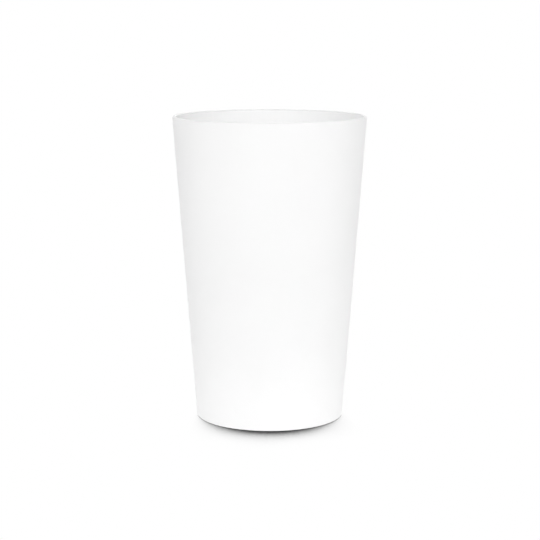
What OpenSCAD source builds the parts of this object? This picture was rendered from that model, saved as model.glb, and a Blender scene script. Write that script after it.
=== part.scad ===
// Reusable drinking cup, injection moulded in one piece of white polypropylene.
// A straight tapered wall ends in a fully rounded lip. The cup stands on a narrow
// foot ring round a hollow base, and ribs inside hold the next cup of a stack.
// The origin is the centre of the foot ring on the table, and +Z runs up through the mouth.

/* [Cup] */
// Height from the table to the top of the lip
height = 118; // [95:1:150]
// Outside diameter of the lip
rim_d = 75.2; // [72:0.2:92]
// Outside diameter where the line of the wall meets the table
foot_d = 57.6; // [50:0.2:62]

/* [Wall and lip] */
// Thickness of the wall, measured square to it, which is also the thickness of the lip
wall = 1.2; // [0.8:0.1:2]

/* [Floor] */
// Thickness of the floor
floor_t = 1.6; // [1:0.1:3]
// How much higher the middle of the floor is than its edge
floor_rise = 0.8; // [0:0.1:2]
// Radius of the inside corner between the floor and the wall
floor_round = 2.5; // [1:0.1:5]

/* [Foot ring] */
// Height of the hollow under the edge of the floor
hollow_h = 3; // [2.5:0.1:8]
// Draft angle of the side of the hollow
hollow_draft = 6; // [1:0.5:12]
// Radius of the corner at the top of the hollow
hollow_round = 0.8; // [0.3:0.1:1.5]
// Width of the foot ring at the table, from the line of the wall to the hollow
ring_w = 2; // [1.6:0.1:3.5]
// Radius of the outside edge of the foot ring
foot_round = 0.5; // [0.3:0.1:1]
// Radius of the inside edge of the foot ring
ring_round = 0.4; // [0.1:0.1:0.5]

/* [Stacking ribs] */
// Number of ribs inside the base
rib_count = 6; // [3:1:12]
// Thickness of a rib
rib_t = 1; // [0.6:0.1:1.6]
// Gap that the ribs keep between the walls of two stacked cups, at the foot of the upper one
stack_gap = 0.3; // [0.1:0.05:0.8]
// Draft angle of the inner edge of a rib
rib_draft = 1; // [0.5:0.5:4]
// Radius of the inner corner at the top of a rib
rib_round = 0.4; // [0.2:0.1:0.8]

/* [Gate mark] */
// Diameter of the dimple in the middle of the underside
dimple_d = 8; // [5:0.5:12]
// Depth of the dimple
dimple_depth = 0.5; // [0.2:0.1:0.7]
// Diameter of the stub of the cut-off gate, in the dimple
gate_d = 2; // [1:0.1:3]
// Height of the stub
gate_h = 0.3; // [0.1:0.1:0.5]

/* [Hidden] */
$fn = 120;
eps = 0.01;

// Flats in a rounded corner, and in the arch of the floor
corner_steps = 6;
arch_steps = 8;

foot_rad = foot_d / 2;
lip_rad = wall / 2;
lip_centre = [rim_d / 2 - lip_rad, height - lip_rad];

// The outside of the wall runs from the line of the foot to touch the round of the lip
to_lip = lip_centre - [foot_rad, 0];
lean = atan2(to_lip.x, to_lip.y) + asin(lip_rad / norm(to_lip));

// Radius at height z of the surface that lies this deep in the wall
function wall_rad(z, depth = 0) = foot_rad + z * tan(lean) - depth / cos(lean);

// Radius at height z of the surface that lies this far outside the side of the hollow
hollow_rad = foot_rad - ring_w;
function hollow_side(z, depth = 0) = hollow_rad - z * tan(hollow_draft) + depth / cos(hollow_draft);

// Points along an arc in the half section, where x is the radius and y the height
function arc(centre, r, from, to, steps) =
    [for (i = [0 : steps])
        let (a = from + (to - from) * i / steps)
        centre + r * [cos(a), sin(a)]];

// Height of the arched floor over its own edge, level at the middle and at the edge
function arch(r, edge) = floor_rise * (1 + cos(180 * r / edge)) / 2;

// Centres of the rounded corners, from the outside of the foot to the top of the hollow
foot_corner = [wall_rad(foot_round, foot_round), foot_round];
ring_corner = [hollow_side(ring_round, ring_round), ring_round];
hollow_top = hollow_h - hollow_round;
hollow_corner = [hollow_side(hollow_top, -hollow_round), hollow_top];
under_edge = hollow_corner.x;

// Centre of the inside corner between the floor and the wall
floor_z = hollow_h + floor_t;
floor_top = floor_z + floor_round;
floor_corner = [wall_rad(floor_top, wall + floor_round), floor_top];
floor_edge = floor_corner.x;

// The dimple has a flat bottom and a side at 45 degrees
dimple_rad = dimple_d / 2;
dimple_z = hollow_h + arch(0, under_edge) + dimple_depth;

// The ribs reach to where the foot of the next cup has its gap inside the wall,
// and run in as far as the inner edge of its foot ring
stack_step = (wall / cos(lean) + stack_gap) / tan(lean);
rib_nose = hollow_rad;
rib_foot = hollow_h + floor_t / 2;
rib_corner = [rib_nose + rib_round, stack_step - rib_round];

function gate_points() = [
    [0, dimple_z - gate_h],
    [gate_d / 2, dimple_z - gate_h],
    [gate_d / 2, dimple_z],
    [dimple_rad - dimple_depth, dimple_z]
];

function underside_points() =
    [for (i = [0 : arch_steps - 1])
        let (r = dimple_rad + (under_edge - dimple_rad) * i / arch_steps)
        [r, hollow_h + arch(r, under_edge)]];

function foot_points() = concat(
    arc(hollow_corner, hollow_round, 90, hollow_draft, corner_steps),
    arc(ring_corner, ring_round, 180 + hollow_draft, 270, corner_steps),
    arc(foot_corner, foot_round, -90, -lean, corner_steps)
);

function lip_points() = arc(lip_centre, lip_rad, -lean, 180 - lean, 2 * corner_steps);

function inside_points() = concat(
    arc(floor_corner, floor_round, -lean, -90, corner_steps),
    [for (i = [arch_steps - 1 : -1 : 0])
        let (r = floor_edge * i / arch_steps)
        [r, floor_z + arch(r, floor_edge)]]
);

// The whole cup without its ribs, as one turned section
module shell() {
    rotate_extrude()
        polygon(concat(gate_points(), underside_points(), foot_points(), lip_points(), inside_points()));
}

// A turned ring with the outline of the ribs, sunk to the middle of the wall and of the floor
module rib_ring() {
    nose = arc(rib_corner, rib_round, 90, 180, corner_steps);
    nose_foot = rib_nose - (rib_corner.y - rib_foot) * tan(rib_draft);
    rotate_extrude()
        polygon(concat(
            [[wall_rad(rib_foot, wall / 2), rib_foot], [wall_rad(stack_step, wall / 2), stack_step]],
            nose,
            [[nose_foot, rib_foot]]
        ));
}

// Flat plates that cut the ring into ribs
module rib_plates() {
    for (i = [0 : rib_count - 1])
        rotate([0, 0, i * 360 / rib_count])
            translate([rib_nose / 2, -rib_t / 2, 0])
                cube([rim_d / 2, rib_t, stack_step + eps]);
}

module cup() {
    color("white") {
        shell();
        intersection() {
            rib_ring();
            rib_plates();
        }
    }
}

cup();
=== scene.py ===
"""A white polypropylene drinking cup on a white table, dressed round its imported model."""

import math

import bmesh
import bpy
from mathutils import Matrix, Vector


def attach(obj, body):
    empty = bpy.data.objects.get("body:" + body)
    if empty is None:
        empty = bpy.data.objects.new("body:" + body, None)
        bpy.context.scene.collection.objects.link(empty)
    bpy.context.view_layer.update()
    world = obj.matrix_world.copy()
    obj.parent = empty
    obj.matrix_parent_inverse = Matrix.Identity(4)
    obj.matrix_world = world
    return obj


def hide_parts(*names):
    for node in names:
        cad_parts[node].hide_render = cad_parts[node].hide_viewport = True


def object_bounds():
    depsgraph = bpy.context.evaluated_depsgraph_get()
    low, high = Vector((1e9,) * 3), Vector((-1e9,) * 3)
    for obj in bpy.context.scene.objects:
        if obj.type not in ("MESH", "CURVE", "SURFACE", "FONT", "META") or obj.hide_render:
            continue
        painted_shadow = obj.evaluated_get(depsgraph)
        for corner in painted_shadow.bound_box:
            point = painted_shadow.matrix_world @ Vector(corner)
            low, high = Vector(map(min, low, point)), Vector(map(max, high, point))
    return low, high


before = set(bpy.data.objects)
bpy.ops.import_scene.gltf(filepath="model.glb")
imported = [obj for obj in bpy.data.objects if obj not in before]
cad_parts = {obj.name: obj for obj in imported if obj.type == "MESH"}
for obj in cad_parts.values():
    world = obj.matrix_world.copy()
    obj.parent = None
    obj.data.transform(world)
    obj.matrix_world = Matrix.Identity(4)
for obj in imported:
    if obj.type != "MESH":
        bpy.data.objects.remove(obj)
cad_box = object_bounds()


# The camera stands about 63 cm in front of the cup and looks slightly down at it
# through a long lens. Its place comes from fitting the cup's edges in the photograph.
camera_place = Vector((0.00014, -0.6254, 0.1617))
camera_tilt = math.radians(9.46)
photo_side_px = 540
focal_length_px = 1614.7

camera = bpy.data.objects.new("camera", bpy.data.cameras.new("camera"))
camera.data.lens = focal_length_px / photo_side_px * camera.data.sensor_width
camera.location = camera_place
camera.rotation_euler = (math.pi / 2 - camera_tilt, 0, 0)
bpy.context.collection.objects.link(camera)
bpy.context.scene.camera = camera
bpy.context.scene.view_settings.view_transform = "Standard"


# The studio is a white table under soft lamps. The table and the room show pure white
# to the camera and in reflections, and a shadow is painted on the table where the cup hides it.
def add_node(tree, kind, inputs=None, **settings):
    """Adds one node with its settings, and gives its inputs their values or links."""
    node = tree.nodes.new(kind)
    for name, value in settings.items():
        setattr(node, name, value)
    for name, value in (inputs or {}).items():
        if isinstance(value, bpy.types.NodeSocket):
            tree.links.new(value, node.inputs[name])
        else:
            node.inputs[name].default_value = value
    return node


def seen_directly(tree):
    """1 for rays from the camera, a reflection or glass, and 0 for rays that gather light."""
    path = add_node(tree, "ShaderNodeLightPath")
    either = add_node(tree, "ShaderNodeMath", {0: path.outputs["Is Camera Ray"],
                                               1: path.outputs["Is Glossy Ray"]}, operation="MAXIMUM")
    return add_node(tree, "ShaderNodeMath", {0: either.outputs[0],
                                             1: path.outputs["Is Transmission Ray"]}, operation="MAXIMUM")


# The room lights the cup from a soft band that runs all round, 9 to 37 degrees up and
# brightest at 15, as the lit walls of a light tent do. It is dark above the band, so that
# the round of the lip shows.
band_light = 2.27
band = [(0.10, 0), (0.20, 1), (0.30, 1), (0.40, 0.3), (0.55, 0.3), (0.65, 0)]

world = bpy.data.worlds.new("light_tent")
world.use_nodes = True
tree = world.node_tree
tree.nodes.clear()
direction = add_node(tree, "ShaderNodeTexCoord")
height_up = add_node(tree, "ShaderNodeSeparateXYZ", {0: direction.outputs["Generated"]})
walls = add_node(tree, "ShaderNodeValToRGB", {"Fac": height_up.outputs["Z"]})
while len(walls.color_ramp.elements) < len(band):
    walls.color_ramp.elements.new(1)
for stop, (up, share) in zip(walls.color_ramp.elements, band):
    stop.position = up
    stop.color = (share, share, share, 1)
room = add_node(tree, "ShaderNodeBackground", {"Color": walls.outputs["Color"], "Strength": band_light})
room_seen = add_node(tree, "ShaderNodeBackground", {"Color": (1, 1, 1, 1), "Strength": 1})
room_mix = add_node(tree, "ShaderNodeMixShader", {0: seen_directly(tree).outputs[0],
                                                  1: room.outputs[0], 2: room_seen.outputs[0]})
add_node(tree, "ShaderNodeOutputWorld", {"Surface": room_mix.outputs[0]})
bpy.context.scene.world = world


def linear(hex_colour):
    """The linear colour of an sRGB hex value."""
    shares = [int(hex_colour[i:i + 2], 16) / 255 for i in (1, 3, 5)]
    return (*[s / 12.92 if s <= 0.04045 else ((s + 0.055) / 1.055) ** 2.4 for s in shares], 1)


MM = 0.001
table_size = 6.0

# The cup's shadow is painted on the table in front of its foot. How much of the sky behind and
# above is open to the table, within the reach, is turned into these tones, which the camera sees.
painted_shadow_reach = 60 * MM
painted_shadow_from = Vector((0, math.cos(math.radians(36)), math.sin(math.radians(36))))
painted_shadow_tones = [(0.35, 0.06), (0.40, 0.15), (0.43, 0.36), (0.475, 0.66), (0.54, 0.905), (0.61, 1)]
painted_shadow_samples = 32

# The table round the cup glows with painted light that the camera doesn't see, and sends that light up
# under the foot
patch_rad = 90 * MM
patch_fade = 9 * MM
patch_light = 0.12

bench = bpy.data.meshes.new("table")
half = table_size / 2
corners = [(-half, -half, 0), (half, -half, 0), (half, half, 0), (-half, half, 0)]
bench.from_pydata(corners, [], [(0, 1, 2, 3)])
table = bpy.data.objects.new("table", bench)
bpy.context.collection.objects.link(table)

# Matt white lacquer, sprayed: an even white without a reflection of the cup, with a painted glow round the
# cup and a painted shadow in front of its foot
paint = bpy.data.materials.new("table, matt white lacquer with painted shadow and glow")
paint.use_nodes = True
tree = paint.node_tree
tree.nodes.clear()
lit = add_node(tree, "ShaderNodeBsdfDiffuse", {"Color": linear("#F9F9F9")})
at = add_node(tree, "ShaderNodeTexCoord").outputs["Object"]
off_cup = add_node(tree, "ShaderNodeVectorMath", {0: at}, operation="LENGTH")
patch = add_node(tree, "ShaderNodeMapRange",
                 {"Value": off_cup.outputs["Value"], "From Min": patch_rad + patch_fade,
                  "From Max": patch_rad - patch_fade, "To Max": patch_light})
# Painted glow: the table emits light in a patch round the cup, though it is no lamp
painted_glow = add_node(tree, "ShaderNodeEmission", {"Strength": patch.outputs[0]})
lacquer_with_painted_glow = add_node(tree, "ShaderNodeAddShader", {0: lit.outputs[0], 1: painted_glow.outputs[0]})
# Painted shadow: the open share of the sky behind and above, made into tones the camera sees in place of
# the lit table
facing = add_node(tree, "ShaderNodeCombineXYZ", {"Y": painted_shadow_from.y, "Z": painted_shadow_from.z})
painted_shadow_sky = add_node(tree, "ShaderNodeAmbientOcclusion",
                    {"Distance": painted_shadow_reach, "Normal": facing.outputs[0]}, samples=painted_shadow_samples)
painted_shadow_ramp = add_node(tree, "ShaderNodeValToRGB", {"Fac": painted_shadow_sky.outputs["AO"]})
while len(painted_shadow_ramp.color_ramp.elements) < len(painted_shadow_tones):
    painted_shadow_ramp.color_ramp.elements.new(1)
for stop, (share, tone) in zip(painted_shadow_ramp.color_ramp.elements, painted_shadow_tones):
    stop.position = share
    stop.color = (tone, tone, tone, 1)
painted_shadow = add_node(tree, "ShaderNodeEmission", {"Color": painted_shadow_ramp.outputs["Color"], "Strength": 1})
paint_mix = add_node(tree, "ShaderNodeMixShader", {0: seen_directly(tree).outputs[0],
                                                   1: lacquer_with_painted_glow.outputs[0], 2: painted_shadow.outputs[0]})
add_node(tree, "ShaderNodeOutputMaterial", {"Surface": paint_mix.outputs[0]})
bench.materials.append(paint)


# The lamps are soft boxes that the camera doesn't see. The two strong ones, over the camera and
# behind the cup, light the wall and the inside, and the weak ones at the sides lift its edges.
def softbox(name, place, aim, width, tall, watts):
    """A soft lamp of that size, turned towards aim."""
    lamp = bpy.data.objects.new(name, bpy.data.lights.new(name, "AREA"))
    lamp.data.shape = "RECTANGLE"
    lamp.data.size = width
    lamp.data.size_y = tall
    lamp.data.energy = watts
    lamp.location = place
    lamp.rotation_euler = (Vector(aim) - Vector(place)).to_track_quat("-Z", "Y").to_euler()
    lamp.visible_camera = False
    bpy.context.collection.objects.link(lamp)


middle = Vector((0, 0, 60 * MM))
softbox("lamp_over_camera", (0, -1.25, 0.75), middle, 1.4, 0.4, 8.3)
softbox("lamp_left", (-0.9, -1.0, 0.3), middle, 0.6, 0.4, 0.44)
softbox("lamp_right", (0.9, -1.0, 0.3), middle, 0.6, 0.4, 0.62)
softbox("lamp_behind_cup", (0, 1.2, 0.9), middle, 1.0, 0.6, 6.9)
softbox("strip_left", (-0.35, -0.05, 0.02), middle / 2, 0.3, 0.03, 0.07)
softbox("strip_right", (0.35, -0.05, 0.02), middle / 2, 0.3, 0.03, 0.09)

# A lamp in a snoot shines straight down through the mouth, so that the floor inside isn't dark
snoot_high = 1.6
mouth_rad = 34 * MM
mouth_high = cad_box[1].z
snoot = bpy.data.objects.new("lamp_over_mouth", bpy.data.lights.new("lamp_over_mouth", "SPOT"))
snoot.data.energy = 40
snoot.data.spot_size = 2 * math.atan(mouth_rad / (snoot_high - mouth_high))
snoot.data.spot_blend = 0.6
snoot.data.shadow_soft_size = 0.02
snoot.location = (0, 0, snoot_high)
bpy.context.collection.objects.link(snoot)


# The cup is one piece of white polypropylene, shot through a gate in the middle of its base.
# Its section is turned about the axis: a thin straight wall, a full round lip, a foot ring
# round a hollow base and an arched floor. Ribs inside carry the next cup of a stack.
height = cad_box[1].z
rim_rad = (cad_box[1].x - cad_box[0].x) / 2
foot_rad = 28.8 * MM
wall = 1.2 * MM
floor_thick = 1.6 * MM
floor_rise = 0.8 * MM
floor_round = 2.5 * MM
hollow_high = 3 * MM
hollow_draft = math.radians(6)
hollow_round = 0.8 * MM
ring_width = 2 * MM
foot_round = 0.5 * MM
ring_round = 0.4 * MM
dimple_rad = 4 * MM
dimple_deep = 0.5 * MM
dimple_round = 0.25 * MM
gate_rad = 1 * MM
gate_high = 0.3 * MM
gate_round = 0.1 * MM
valve_rad = 9 * MM
groove_half = 0.08 * MM
groove_deep = 0.1 * MM
arch_steps = 16
wall_steps = 24

lip_rad = wall / 2
to_lip = Vector((rim_rad - lip_rad - foot_rad, height - lip_rad))
lean = math.atan2(to_lip.x, to_lip.y) + math.asin(lip_rad / to_lip.length)
up_wall = Vector((math.sin(lean), math.cos(lean)))
out_of_wall = Vector((math.cos(lean), -math.sin(lean)))
lip_centre = Vector((foot_rad, 0)) + to_lip


def wall_radius(z, depth=0.0):
    """Radius at height z of the surface that lies this deep in the wall."""
    return foot_rad + z * math.tan(lean) - depth / math.cos(lean)


def arched(edge, z, r):
    """A point of the arched floor, whose edge is at radius edge and height z."""
    return r, z + floor_rise * (1 + math.cos(math.pi * r / edge)) / 2, 0


def along_wall(depth, low, high):
    """Evenly spaced points up the wall, this deep in it."""
    heights = [low + (high - low) * i / wall_steps for i in range(1, wall_steps)]
    return [(wall_radius(z, depth), z, 0) for z in heights]


ring_rad = foot_rad - ring_width
hollow_edge = ring_rad - hollow_high * math.tan(hollow_draft)
under_edge = hollow_edge - hollow_round * math.tan(math.radians(45) - hollow_draft / 2)
under_steps = [dimple_rad + (under_edge - dimple_rad) * i / arch_steps for i in range(1, arch_steps + 1)]
floor_high = hollow_high + floor_thick
floor_side = wall_radius(floor_high, wall)
floor_edge = floor_side - floor_round * math.tan(math.radians(45) + lean / 2)
dimple_high = hollow_high + floor_rise + dimple_deep

# Radius and depth along the floor, with the fine groove that the core's air valve leaves
groove = [(valve_rad - groove_half, 0), (valve_rad, groove_deep), (valve_rad + groove_half, 0)]
floor_line = sorted([*((floor_edge * i / arch_steps, 0) for i in range(arch_steps + 1)), *groove])
lip_out = lip_centre + lip_rad * (up_wall + out_of_wall)
lip_in = lip_centre + lip_rad * (up_wall - out_of_wall)

# Corners of the half section, as radius, height and rounding, from the floor round to the gate
section = [
    *[arched(floor_edge, floor_high - deep, r) for r, deep in floor_line],
    (floor_side, floor_high, floor_round),
    *along_wall(wall, floor_high, height),
    (*lip_in, lip_rad),
    (*lip_out, lip_rad),
    *reversed(along_wall(0, 0, height)),
    (foot_rad, 0, foot_round),
    (ring_rad, 0, ring_round),
    (hollow_edge, hollow_high, hollow_round),
    *[arched(under_edge, hollow_high, r) for r in reversed(under_steps)],
    (*arched(under_edge, hollow_high, dimple_rad)[:2], dimple_round),
    (dimple_rad - dimple_deep, dimple_high, dimple_round),
    (gate_rad, dimple_high, gate_round),
    (gate_rad, dimple_high - gate_high, gate_round),
    (0, dimple_high - gate_high, 0),
]

# One rib, cut to its outline, with its free edges rounded
rib_thick = 1 * MM
stack_gap = 0.3 * MM
rib_draft = math.radians(1)
rib_round = 0.4 * MM
rib_round_steps = 6
rib_edge = 0.15 * MM
rib_edge_steps = 3
nearly = 0.01 * MM
rib_top = (wall / math.cos(lean) + stack_gap) / math.tan(lean)
rib_foot = hollow_high + floor_thick / 2
rib_outline = [
    (wall_radius(rib_foot, wall / 2), rib_foot),
    (wall_radius(rib_top, wall / 2), rib_top),
    (ring_rad, rib_top),
    (ring_rad - (rib_top - rib_foot) * math.tan(rib_draft), rib_foot),
]


def is_free(edge):
    """Whether an edge of a rib's two flat sides stands free, along its top or down its nose."""
    mid = (edge.verts[0].co + edge.verts[1].co) / 2
    beside = any(len(face.verts) > 4 for face in edge.link_faces)
    at_top = mid.z > rib_top - nearly
    at_foot = mid.z < rib_foot + nearly
    at_nose = mid.x < ring_rad + rib_round and not at_foot
    return beside and (at_top or at_nose)


rib_shape = bmesh.new()
near = [rib_shape.verts.new((r, -rib_thick / 2, z)) for r, z in rib_outline]
far = [rib_shape.verts.new((r, rib_thick / 2, z)) for r, z in rib_outline]
rib_shape.faces.new(near)
rib_shape.faces.new(reversed(far))
for i in range(len(rib_outline)):
    j = (i + 1) % len(rib_outline)
    rib_shape.faces.new((near[j], near[i], far[i], far[j]))
nose_top = [edge for edge in rib_shape.edges if set(edge.verts) == {near[2], far[2]}]
bmesh.ops.bevel(rib_shape, geom=nose_top, offset=rib_round, offset_type="OFFSET",
                segments=rib_round_steps, profile=0.5, affect="EDGES", clamp_overlap=True)
free = [edge for edge in rib_shape.edges if is_free(edge)]
bmesh.ops.bevel(rib_shape, geom=free, offset=rib_edge, offset_type="OFFSET",
                segments=rib_edge_steps, profile=0.5, affect="EDGES", clamp_overlap=True)
bmesh.ops.recalc_face_normals(rib_shape, faces=rib_shape.faces[:])

# The rounding leaves the faces in an order that changes from run to run, so they are sorted
rib_shape.verts.index_update()
rib_faces = sorted([vert.index for vert in face.verts] for face in rib_shape.faces)
rib_mesh = bpy.data.meshes.new("rib")
rib_mesh.from_pydata([vert.co for vert in rib_shape.verts], [], rib_faces)
rib_shape.free()
rib = bpy.data.objects.new("rib", rib_mesh)
bpy.context.collection.objects.link(rib)

# The section's line, drawn from the circle of the rim, round which the tree turns it
half_section = bpy.data.meshes.new("cup_moulding")
half_section.from_pydata([(r - rim_rad, -z, 0) for r, z, _ in section],
                         [(i, i + 1) for i in range(len(section) - 1)], [])
half_section.attributes.new("rounding", "FLOAT", "POINT").data.foreach_set("value", [p[2] for p in section])
cup = bpy.data.objects.new("cup_moulding", half_section)
bpy.context.collection.objects.link(cup)


# How far light spreads inside the plastic, which takes the hardness off thin edges
light_spread = 0.6 * MM


def plastic(name):
    """A new material of white polypropylene, with its tree, its shader and its object coordinates."""
    material = bpy.data.materials.new(name)
    material.use_nodes = True
    tree = material.node_tree
    tree.nodes.clear()
    shader = add_node(tree, "ShaderNodeBsdfPrincipled", {
        "IOR": 1.49, "Metallic": 0, "Subsurface Weight": 0.1, "Subsurface Radius": (1, 1, 1),
        "Subsurface Scale": light_spread})
    add_node(tree, "ShaderNodeOutputMaterial", {"Surface": shader.outputs[0]})
    return material, tree, shader, add_node(tree, "ShaderNodeTexCoord").outputs["Object"]


def from_axis(tree, place):
    """How far a place on the cup is from its axis."""
    level = add_node(tree, "ShaderNodeVectorMath", {0: place, 1: (1, 1, 0)}, operation="MULTIPLY")
    distance = add_node(tree, "ShaderNodeVectorMath", {0: level.outputs[0]}, operation="LENGTH")
    return distance.outputs["Value"]


# Polypropylene moulded in a spark-eroded cavity: an even satin white. The grain of the cavity,
# drawn at 0.4 mm because the real 0.05 mm is too fine to show, softens each reflection. Round
# the gate the hot plastic leaves a paler, glossier patch on the underside.
grain_size = 0.4 * MM
grain_deep = 0.01 * MM
flow_size = 45 * MM
blush_rad = 9 * MM
# These tones, a shade darker than the inside's, also cover the lip's round, where they paint its shade
satin_tones = [(0.35, "#EFEFEF"), (0.65, "#F1F1F1")]
satin_rough = (0.52, 0.58)
gate_rough = 0.3
outside, tree, shader, at = plastic("polypropylene, moulded in a spark-eroded cavity")
flow = add_node(tree, "ShaderNodeTexNoise", {"Vector": at, "Scale": 1 / flow_size, "Detail": 3})
tint = add_node(tree, "ShaderNodeValToRGB", {"Fac": flow.outputs[0]})
for stop, (share, tone) in zip(tint.color_ramp.elements, satin_tones):
    stop.position = share
    stop.color = linear(tone)
blush = add_node(tree, "ShaderNodeMapRange",
                 {"Value": from_axis(tree, at), "From Min": blush_rad, "From Max": gate_rad},
                 interpolation_type="SMOOTHSTEP")
blushed = add_node(tree, "ShaderNodeMix",
                   {"Factor": blush.outputs[0], 6: tint.outputs[0], 7: linear("#F6F6F4")}, data_type="RGBA")
tree.links.new(blushed.outputs[2], shader.inputs["Base Color"])
satin = add_node(tree, "ShaderNodeMapRange", {"Value": flow.outputs[0], "From Min": 0.3, "From Max": 0.7,
                                              "To Min": satin_rough[0], "To Max": satin_rough[1]})
gloss = add_node(tree, "ShaderNodeMapRange",
                 {"Value": blush.outputs[0], "To Min": satin.outputs[0], "To Max": gate_rough})
tree.links.new(gloss.outputs[0], shader.inputs["Roughness"])
grain = add_node(tree, "ShaderNodeTexNoise", {"Vector": at, "Scale": 1 / grain_size, "Detail": 2})
spark_marks = add_node(tree, "ShaderNodeBump", {"Height": grain.outputs[0], "Distance": grain_deep})
tree.links.new(spark_marks.outputs[0], shader.inputs["Normal"])

# Polypropylene moulded on a polished core: smoother than the outside, with faint upright
# streaks from drawing the core out. In and beside the groove round the air valve it is tinted darker.
streak_wide = 1.5 * MM
streak_long = 60 * MM
streak_deep = 0.003 * MM
core_tones = [(0.3, "#F6F6F6"), (0.7, "#F7F7F7")]
core_rough = (0.30, 0.34)
inside, tree, shader, at = plastic("polypropylene, moulded on a polished core")
drawn = add_node(tree, "ShaderNodeMapping", {"Vector": at, "Scale": (1, 1, streak_wide / streak_long)})
streaks = add_node(tree, "ShaderNodeTexNoise",
                   {"Vector": drawn.outputs[0], "Scale": 1 / streak_wide, "Detail": 2})
tint = add_node(tree, "ShaderNodeValToRGB", {"Fac": streaks.outputs[0]})
for stop, (share, tone) in zip(tint.color_ramp.elements, core_tones):
    stop.position = share
    stop.color = linear(tone)
past_groove = add_node(tree, "ShaderNodeMath", {0: from_axis(tree, at), 1: valve_rad},
                       operation="SUBTRACT")
off_groove = add_node(tree, "ShaderNodeMath", {0: past_groove.outputs[0]}, operation="ABSOLUTE")
# Darker in and beside the groove round the air valve
groove_darkening = add_node(tree, "ShaderNodeMapRange",
                 {"Value": off_groove.outputs[0], "From Min": 2 * groove_half, "From Max": 0},
                 interpolation_type="SMOOTHSTEP")
groove_darkened = add_node(tree, "ShaderNodeMix",
                  {"Factor": groove_darkening.outputs[0], 6: tint.outputs[0], 7: linear("#E4E4E3")}, data_type="RGBA")
tree.links.new(groove_darkened.outputs[2], shader.inputs["Base Color"])
polish = add_node(tree, "ShaderNodeMapRange",
                  {"Value": streaks.outputs[0], "From Min": 0.3, "From Max": 0.7,
                   "To Min": core_rough[0], "To Max": core_rough[1]})
tree.links.new(polish.outputs[0], shader.inputs["Roughness"])
draw_marks = add_node(tree, "ShaderNodeBump", {"Height": streaks.outputs[0], "Distance": streak_deep})
tree.links.new(draw_marks.outputs[0], shader.inputs["Normal"])

# The tree turns the section round the axis, joins the ribs to it, and gives each side its material
weld = 0.001 * MM
crease_from = math.radians(40)
turning = bpy.data.node_groups.new("turned cup with ribs", "GeometryNodeTree")
turning.is_modifier = True
sizes = {
    "Section": ("NodeSocketGeometry", None),
    "Turn Steps": ("NodeSocketInt", 256),
    "Corner Steps": ("NodeSocketInt", 8),
    "Rim Radius": ("NodeSocketFloat", rim_rad),
    "Rib": ("NodeSocketObject", rib),
    "Rib Count": ("NodeSocketInt", 6),
    "Foot Radius": ("NodeSocketFloat", wall_radius(0, wall / 2)),
    "Wall Slope": ("NodeSocketFloat", math.tan(lean)),
    "Floor Height": ("NodeSocketFloat", (dimple_high + floor_high) / 2),
    "Lip Height": ("NodeSocketFloat", lip_centre.y),
    "Outside": ("NodeSocketMaterial", outside),
    "Inside": ("NodeSocketMaterial", inside),
}
for name, (kind, _) in sizes.items():
    turning.interface.new_socket(name, in_out="INPUT", socket_type=kind)
turning.interface.new_socket("Cup", in_out="OUTPUT", socket_type="NodeSocketGeometry")

given = add_node(turning, "NodeGroupInput").outputs
line = add_node(turning, "GeometryNodeMeshToCurve", {"Mesh": given["Section"]})
rounding = add_node(turning, "GeometryNodeInputNamedAttribute", {"Name": "rounding"}, data_type="FLOAT")
rounded = add_node(turning, "GeometryNodeFilletCurve",
                   {"Curve": line.outputs[0], "Radius": rounding.outputs["Attribute"], "Limit Radius": True,
                    "Count": given["Corner Steps"]}, mode="POLY")
circle = add_node(turning, "GeometryNodeCurvePrimitiveCircle",
                  {"Resolution": given["Turn Steps"], "Radius": given["Rim Radius"]}, mode="RADIUS")
turned = add_node(turning, "GeometryNodeCurveToMesh",
                  {"Curve": circle.outputs[0], "Profile Curve": rounded.outputs[0], "Fill Caps": False})
closed = add_node(turning, "GeometryNodeMergeByDistance", {"Geometry": turned.outputs[0], "Distance": weld})

order = add_node(turning, "GeometryNodeInputIndex")
spacing = add_node(turning, "ShaderNodeMath", {0: 2 * math.pi, 1: given["Rib Count"]}, operation="DIVIDE")
turn = add_node(turning, "ShaderNodeMath", {0: order.outputs[0], 1: spacing.outputs[0]},
                operation="MULTIPLY")
turn_up = add_node(turning, "ShaderNodeCombineXYZ", {"Z": turn.outputs[0]})
centres = add_node(turning, "GeometryNodePoints", {"Count": given["Rib Count"]})
one_rib = add_node(turning, "GeometryNodeObjectInfo", {"Object": given["Rib"]})
ribs = add_node(turning, "GeometryNodeInstanceOnPoints",
                {"Points": centres.outputs[0], "Instance": one_rib.outputs["Geometry"],
                 "Rotation": turn_up.outputs[0]})
solid_ribs = add_node(turning, "GeometryNodeRealizeInstances", {"Geometry": ribs.outputs[0]})
moulded = add_node(turning, "GeometryNodeMeshBoolean", {1: closed.outputs[0]},
                   operation="UNION", solver="MANIFOLD")
turning.links.new(solid_ribs.outputs[0], moulded.inputs[1])

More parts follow.
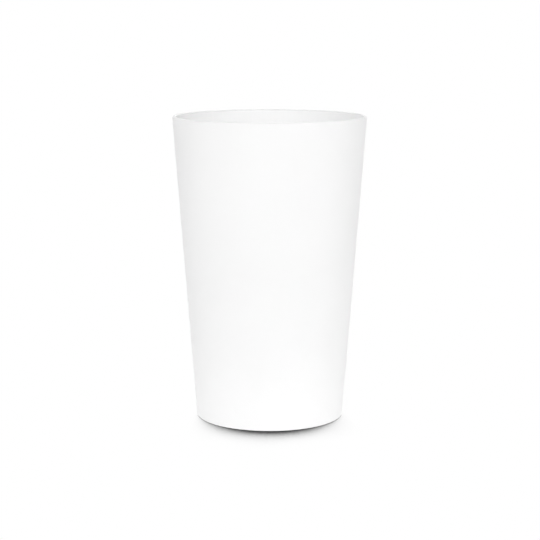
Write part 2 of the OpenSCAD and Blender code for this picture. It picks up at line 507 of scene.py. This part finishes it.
bend = add_node(turning, "GeometryNodeInputMeshEdgeAngle")
crease = add_node(turning, "ShaderNodeMath", {0: bend.outputs["Unsigned Angle"], 1: crease_from},
                  operation="GREATER_THAN")
smooth_faces = add_node(turning, "GeometryNodeSetShadeSmooth",
                        {"Geometry": moulded.outputs[0], "Shade Smooth": True}, domain="FACE")
smooth = add_node(turning, "GeometryNodeSetShadeSmooth",
                  {"Geometry": smooth_faces.outputs[0], "Selection": crease.outputs[0],
                   "Shade Smooth": False}, domain="EDGE")

place = add_node(turning, "GeometryNodeInputPosition").outputs[0]
up = add_node(turning, "ShaderNodeSeparateXYZ", {0: place})
mid_wall = add_node(turning, "ShaderNodeMath",
                    {0: up.outputs["Z"], 1: given["Wall Slope"], 2: given["Foot Radius"]},
                    operation="MULTIPLY_ADD")
within = add_node(turning, "ShaderNodeMath", {0: from_axis(turning, place), 1: mid_wall.outputs[0]},
                  operation="LESS_THAN")
over_floor = add_node(turning, "ShaderNodeMath", {0: up.outputs["Z"], 1: given["Floor Height"]},
                      operation="GREATER_THAN")
# Above the lip height the outside's darker tone covers the lip: painted shade on its upturned round
under_lip = add_node(turning, "ShaderNodeMath", {0: up.outputs["Z"], 1: given["Lip Height"]},
                     operation="LESS_THAN")
hollow = add_node(turning, "ShaderNodeMath", {0: within.outputs[0], 1: over_floor.outputs[0]},
                  operation="MULTIPLY")
cored = add_node(turning, "ShaderNodeMath", {0: hollow.outputs[0], 1: under_lip.outputs[0]},
                 operation="MULTIPLY")

whole = add_node(turning, "GeometryNodeRealizeInstances", {"Geometry": smooth.outputs[0]})
satin_side = add_node(turning, "GeometryNodeSetMaterial",
                      {"Geometry": whole.outputs[0], "Material": given["Outside"]})
both_sides = add_node(turning, "GeometryNodeSetMaterial",
                      {"Geometry": satin_side.outputs[0], "Selection": cored.outputs[0],
                       "Material": given["Inside"]})
add_node(turning, "NodeGroupOutput", {"Cup": both_sides.outputs[0]})

making = cup.modifiers.new("turning", "NODES")
making.node_group = turning
for item in turning.interface.items_tree:
    if item.in_out == "INPUT" and sizes[item.name][1] is not None:
        making[item.identifier] = sizes[item.name][1]
shading = cup.modifiers.new("shading", "WEIGHTED_NORMAL")
shading.keep_sharp = True

depsgraph = bpy.context.evaluated_depsgraph_get()
cup.data = bpy.data.meshes.new_from_object(cup.evaluated_get(depsgraph), depsgraph=depsgraph)
cup.data.name = "cup_moulding"
cup.modifiers.clear()
bpy.data.objects.remove(rib)

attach(cup, "root")
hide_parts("cup")
